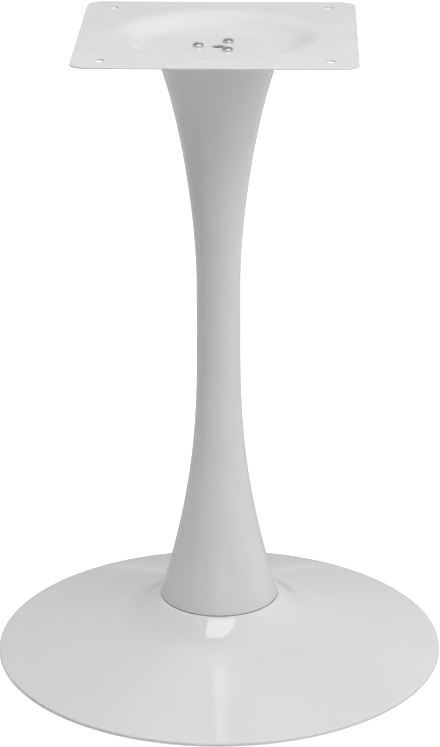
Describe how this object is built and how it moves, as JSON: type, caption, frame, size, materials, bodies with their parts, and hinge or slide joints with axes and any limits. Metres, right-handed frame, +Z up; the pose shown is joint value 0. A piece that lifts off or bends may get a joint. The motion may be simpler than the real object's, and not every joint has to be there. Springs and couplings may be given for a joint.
{
  "type": "table base",
  "caption": "Pedestal table base with a round trumpet foot, a waisted round column and a square dished top plate drilled at its corners.",
  "frame": {"origin": "on the floor, at the column's axis", "axes": "+Z up the column; +X and +Y along the top plate's sides, with the pictured side facing -Y"},
  "size_m": [0.51, 0.51, 0.725],
  "materials": {
    "gloss_paint": "gloss white coat",
    "satin_paint": "satin white powder coat",
    "bare_steel": "plain cut steel",
    "zinc_plate": "bright zinc plate",
    "soft_ring": "matt black"
  },
  "bodies": {
    "root": {"top_plate": "satin_paint", "plate_screw_1": "zinc_plate", "plate_screw_2": "zinc_plate", "plate_screw_3": "zinc_plate", "column_top_disc": "bare_steel", "column": "satin_paint", "column_foot_disc": "bare_steel", "foot": "gloss_paint", "floor_ring": "soft_ring", "clamp_plate": "bare_steel", "foot_bolt_1": "zinc_plate", "spring_washer_1": "zinc_plate", "flat_washer_1": "zinc_plate", "foot_bolt_2": "zinc_plate", "spring_washer_2": "zinc_plate", "flat_washer_2": "zinc_plate", "foot_bolt_3": "zinc_plate", "spring_washer_3": "zinc_plate", "flat_washer_3": "zinc_plate"}
  },
  "joints": []
}
